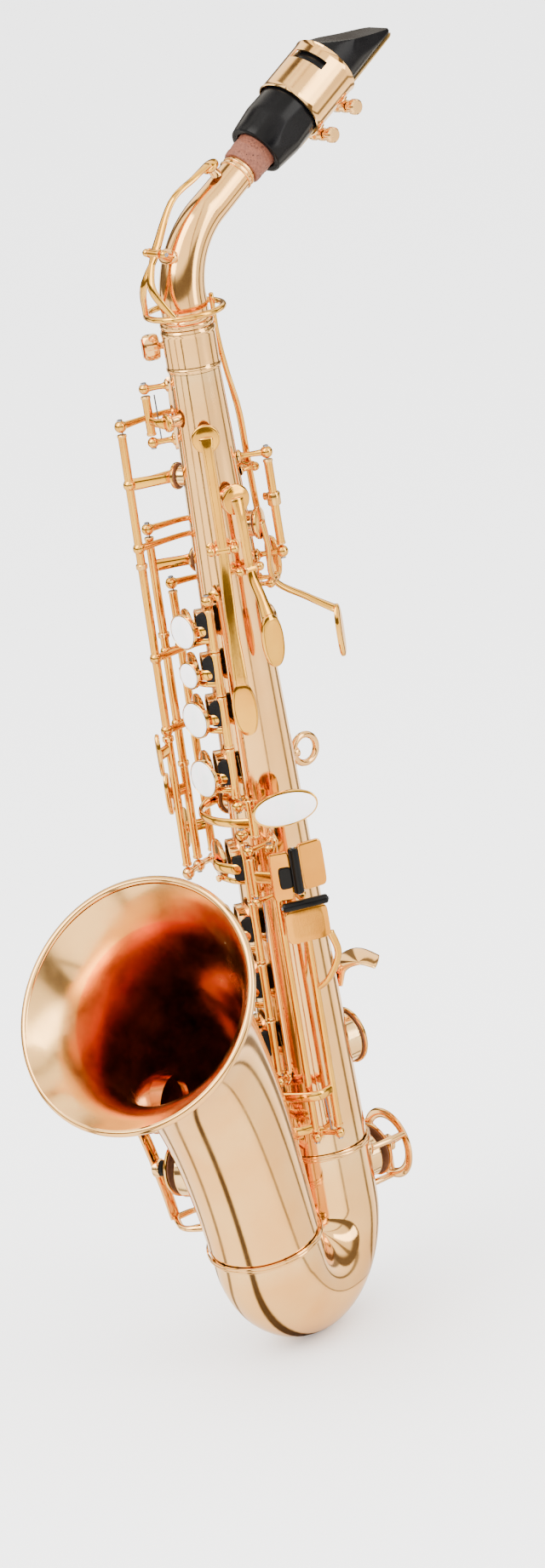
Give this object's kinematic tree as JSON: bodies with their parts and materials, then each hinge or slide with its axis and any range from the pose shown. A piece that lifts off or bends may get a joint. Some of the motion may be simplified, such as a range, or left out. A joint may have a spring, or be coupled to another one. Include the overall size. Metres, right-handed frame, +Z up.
{
  "type": "soprano saxophone",
  "caption": "Curved soprano saxophone with hinged keys, swivelling neck and sliding mouthpiece; hangs on a neck strap by its ring.",
  "frame": {"origin": "centre of the neck-strap ring on the back of the body", "axes": "+Z up along the body tube's axis towards the neck; the bell faces -Y; the player's left is +X"},
  "size_m": [0.0963, 0.2385, 0.4704],
  "materials": {
    "lacquered_brass": "gloss gold lacquer",
    "hard_rubber": "polished black hard rubber",
    "cork": "dark cork",
    "cane": "cane",
    "pearl": "mother of pearl"
  },
  "bodies": {
    "horn": {"body_tube": "lacquered_brass", "bow": "lacquered_brass", "bell": "lacquered_brass", "body_bow_ring": "lacquered_brass", "bell_bow_ring": "lacquered_brass", "neck_receiver": "lacquered_brass", "strap_ring": "lacquered_brass", "thumb_rest": "lacquered_brass", "thumb_hook": "lacquered_brass", "bell_brace": "lacquered_brass", "bell_key_guard": "lacquered_brass", "low_c_guard": "lacquered_brass", "upper_stack_posts": "lacquered_brass", "lower_stack_posts": "lacquered_brass", "side_key_posts": "lacquered_brass", "table_posts": "lacquered_brass", "right_low_posts": "lacquered_brass", "octave_posts": "lacquered_brass"},
    "neck": {"neck": "lacquered_brass", "neck_cork": "cork"},
    "mouthpiece": {"mouthpiece": "hard_rubber", "reed": "cane", "ligature": "lacquered_brass"},
    "neck_clamp_screw": {"neck_clamp_screw": "lacquered_brass"},
    "ligature_screw_rear": {"ligature_screw_rear": "lacquered_brass"},
    "ligature_screw_front": {"ligature_screw_front": "lacquered_brass"},
    "neck_octave_key": {"neck_octave_key": "lacquered_brass"},
    "thumb_octave_lever": {"thumb_octave_lever": "lacquered_brass"},
    "octave_rocker": {"octave_rocker": "lacquered_brass"},
    "body_octave_key": {"body_octave_key": "lacquered_brass"},
    "palm_f_key": {"palm_f_key": "lacquered_brass"},
    "palm_eb_key": {"palm_eb_key": "lacquered_brass"},
    "palm_d_key": {"palm_d_key": "lacquered_brass"},
    "high_e_key": {"high_e_key": "lacquered_brass"},
    "side_c_key": {"side_c_key": "lacquered_brass"},
    "side_bb_key": {"side_bb_key": "lacquered_brass"},
    "b_key": {"b_key": "lacquered_brass", "b_pearl": "pearl"},
    "bis_key": {"bis_key": "lacquered_brass", "bis_pearl": "pearl"},
    "a_key": {"a_key": "lacquered_brass", "a_pearl": "pearl"},
    "g_key": {"g_key": "lacquered_brass", "g_pearl": "pearl"},
    "fs_key": {"fs_key": "lacquered_brass"},
    "f_key": {"f_key": "lacquered_brass", "f_pearl": "pearl"},
    "e_key": {"e_key": "lacquered_brass", "e_pearl": "pearl"},
    "d_key": {"d_key": "lacquered_brass", "d_pearl": "pearl"},
    "gs_key": {"gs_key": "lacquered_brass", "gs_pearl": "pearl"},
    "low_b_key": {"low_b_key": "lacquered_brass"},
    "low_bb_key": {"low_bb_key": "lacquered_brass"},
    "low_cs_lever": {"low_cs_lever": "lacquered_brass"},
    "low_eb_key": {"low_eb_key": "lacquered_brass"},
    "low_c_lever": {"low_c_lever": "lacquered_brass"},
    "low_c_key": {"low_c_key": "lacquered_brass"}
  },
  "joints": [
    {"name": "neck_swivel", "type": "hinge", "parent": "horn", "child": "neck", "pos_m": [-0.00752, -0.02067, 0.168], "axis": [0, 0, 1], "range_deg": [-12, 12]},
    {"name": "mouthpiece_slide", "type": "slide", "parent": "neck", "child": "mouthpiece", "axis": [0.2947, 0.8097, 0.5075], "range_m": [-0.002, 0.008]},
    {"name": "neck_clamp_screw_turn", "type": "hinge", "parent": "horn", "child": "neck_clamp_screw", "pos_m": [-0.0192, -0.01454, 0.15985], "axis": [-0.766, -0.6428, 0], "continuous": true},
    {"name": "ligature_screw_rear_turn", "type": "hinge", "parent": "mouthpiece", "child": "ligature_screw_rear", "pos_m": [0.01971, 0.04684, 0.22006], "axis": [0.9397, -0.342, 0], "continuous": true},
    {"name": "ligature_screw_front_turn", "type": "hinge", "parent": "mouthpiece", "child": "ligature_screw_front", "pos_m": [0.02398, 0.05859, 0.22742], "axis": [0.9397, -0.342, 0], "continuous": true},
    {"name": "neck_octave_key_turn", "type": "hinge", "parent": "neck", "child": "neck_octave_key", "pos_m": [-0.01062, -0.02918, 0.19653], "axis": [0.9397, -0.342, 0], "range_deg": [0, 6.5], "stiffness_Nm_per_rad": 0.02, "springref_deg": -28.65},
    {"name": "thumb_octave_lever_turn", "type": "hinge", "parent": "horn", "child": "thumb_octave_lever", "pos_m": [0.0002, -0.0073, 0.112], "axis": [-0.866, 0.5, 0], "range_deg": [0, 2.4], "stiffness_Nm_per_rad": 0.03, "springref_deg": -28.65},
    {"name": "octave_rocker_turn", "type": "hinge", "parent": "horn", "child": "octave_rocker", "pos_m": [0.0103, -0.00996, 0.09875], "axis": [0, 0, 1], "range_deg": [0, 3.7], "stiffness_Nm_per_rad": 0.02, "springref_deg": -28.65},
    {"name": "body_octave_key_turn", "type": "hinge", "parent": "horn", "child": "body_octave_key", "pos_m": [-0.0243, -0.02959, 0.137], "axis": [0, 0, -1], "range_deg": [0, 8], "stiffness_Nm_per_rad": 0.02, "springref_deg": -28.65},
    {"name": "palm_f_key_turn", "type": "hinge", "parent": "horn", "child": "palm_f_key", "pos_m": [0.00091, -0.03439, 0.088], "axis": [0.8517, 0.524, 0], "range_deg": [0, 4.5], "stiffness_Nm_per_rad": 0.02, "springref_deg": -28.65},
    {"name": "palm_eb_key_turn", "type": "hinge", "parent": "horn", "child": "palm_eb_key", "pos_m": [0.007, -0.02817, 0.079], "axis": [0.4586, 0.8886, 0], "range_deg": [0, 4.5], "stiffness_Nm_per_rad": 0.02, "springref_deg": -28.65},
    {"name": "palm_d_key_turn", "type": "hinge", "parent": "horn", "child": "palm_d_key", "pos_m": [0.00834, -0.01588, 0.071], "axis": [-0.289, 0.9573, 0], "range_deg": [0, 4.5], "stiffness_Nm_per_rad": 0.02, "springref_deg": -28.65},
    {"name": "high_e_key_turn", "type": "hinge", "parent": "horn", "child": "high_e_key", "pos_m": [-0.03619, -0.03343, 0.048], "axis": [0.0146, 0.0065, 0.9999], "range_deg": [0, 7], "stiffness_Nm_per_rad": 0.02, "springref_deg": -28.65},
    {"name": "side_c_key_turn", "type": "hinge", "parent": "horn", "child": "side_c_key", "pos_m": [-0.03662, -0.0258, 0.0275], "axis": [0.0158, 0.0028, 0.9999], "range_deg": [0, 3.3], "stiffness_Nm_per_rad": 0.02, "springref_deg": -28.65},
    {"name": "side_bb_key_turn", "type": "hinge", "parent": "horn", "child": "side_bb_key", "pos_m": [-0.03524, -0.01776, 0.016], "axis": [0.0159, -0.0017, 0.9999], "range_deg": [0, 7], "stiffness_Nm_per_rad": 0.02, "springref_deg": -28.65},
    {"name": "b_key_turn", "type": "hinge", "parent": "horn", "child": "b_key", "pos_m": [-0.00657, -0.03895, 0.05887], "axis": [0.0014, -0.0275, -0.9996], "range_deg": [0, 8.34], "stiffness_Nm_per_rad": 0.02, "springref_deg": -28.65},
    {"name": "bis_key_turn", "type": "hinge", "parent": "horn", "child": "bis_key", "pos_m": [-0.00654, -0.0394, 0.04238], "axis": [0.0014, -0.0275, -0.9996], "range_deg": [0, 8.14], "stiffness_Nm_per_rad": 0.02, "springref_deg": -28.65},
    {"name": "a_key_turn", "type": "hinge", "parent": "horn", "child": "a_key", "pos_m": [-0.00652, -0.03991, 0.02413], "axis": [0.0014, -0.0275, -0.9996], "range_deg": [0, 7.93], "stiffness_Nm_per_rad": 0.02, "springref_deg": -28.65},
    {"name": "g_key_turn", "type": "hinge", "parent": "horn", "child": "g_key", "pos_m": [-0.00649, -0.04044, 0.00462], "axis": [0.0014, -0.0275, -0.9996], "range_deg": [0, 7.68], "stiffness_Nm_per_rad": 0.02, "springref_deg": -28.65},
    {"name": "fs_key_turn", "type": "hinge", "parent": "horn", "child": "fs_key", "pos_m": [-0.00643, -0.04149, -0.0335], "axis": [0.0014, -0.0275, -0.9996], "range_deg": [0, 7.31], "stiffness_Nm_per_rad": 0.02, "springref_deg": -28.65},
    {"name": "f_key_turn", "type": "hinge", "parent": "horn", "child": "f_key", "pos_m": [-0.0064, -0.04213, -0.057], "axis": [0.0014, -0.0275, -0.9996], "range_deg": [0, 7.06], "stiffness_Nm_per_rad": 0.02, "springref_deg": -28.65},
    {"name": "e_key_turn", "type": "hinge", "parent": "horn", "child": "e_key", "pos_m": [-0.00637, -0.04277, -0.08025], "axis": [0.0014, -0.0275, -0.9996], "range_deg": [0, 6.86], "stiffness_Nm_per_rad": 0.02, "springref_deg": -28.65},
    {"name": "d_key_turn", "type": "hinge", "parent": "horn", "child": "d_key", "pos_m": [-0.00634, -0.04338, -0.10225], "axis": [0.0014, -0.0275, -0.9996], "range_deg": [0, 6.67], "stiffness_Nm_per_rad": 0.02, "springref_deg": -28.65},
    {"name": "gs_key_turn", "type": "hinge", "parent": "horn", "child": "gs_key", "pos_m": [0.00096, -0.04398, -0.01125], "axis": [-0.0094, 0.0259, 0.9996], "range_deg": [0, 4.5], "stiffness_Nm_per_rad": 0.02, "springref_deg": -28.65},
    {"name": "low_b_key_turn", "type": "hinge", "parent": "horn", "child": "low_b_key", "pos_m": [0.00408, -0.04077, -0.0815], "axis": [0, 0, 1], "range_deg": [0, 4.94], "stiffness_Nm_per_rad": 0.04, "springref_deg": -28.65},
    {"name": "low_bb_key_turn", "type": "hinge", "parent": "horn", "child": "low_bb_key", "pos_m": [0.01076, -0.03496, -0.0915], "axis": [0, 0, 1], "range_deg": [0, 3.45], "stiffness_Nm_per_rad": 0.04, "springref_deg": -28.65},
    {"name": "low_cs_lever_turn", "type": "hinge", "parent": "horn", "child": "low_cs_lever", "pos_m": [-0.00243, -0.04464, -0.034], "axis": [0, 0, 1], "range_deg": [0, 5], "stiffness_Nm_per_rad": 0.02, "springref_deg": -28.65},
    {"name": "low_eb_key_turn", "type": "hinge", "parent": "horn", "child": "low_eb_key", "pos_m": [-0.0313, -0.01295, -0.111], "axis": [0, 0, 1], "range_deg": [0, 5], "stiffness_Nm_per_rad": 0.02, "springref_deg": -28.65},
    {"name": "low_c_lever_turn", "type": "hinge", "parent": "horn", "child": "low_c_lever", "pos_m": [-0.0313, -0.01295, -0.13275], "axis": [0, 0, 1], "range_deg": [0, 6], "stiffness_Nm_per_rad": 0.03, "springref_deg": -28.65},
    {"name": "low_c_key_turn", "type": "hinge", "parent": "horn", "child": "low_c_key", "pos_m": [-0.0223, -0.00176, -0.1655], "axis": [0, 0, -1], "range_deg": [0, 5.09], "stiffness_Nm_per_rad": 0.02, "springref_deg": -28.65}
  ],
  "couplings": [
    {"joint": "neck_octave_key_turn", "follows": "thumb_octave_lever_turn", "ratio": 2.7},
    {"joint": "octave_rocker_turn", "follows": "thumb_octave_lever_turn", "ratio": 1.5},
    {"joint": "fs_key_turn", "follows": "f_key_turn", "ratio": 1.034},
    {"joint": "low_c_key_turn", "follows": "low_c_lever_turn", "ratio": 0.846}
  ]
}
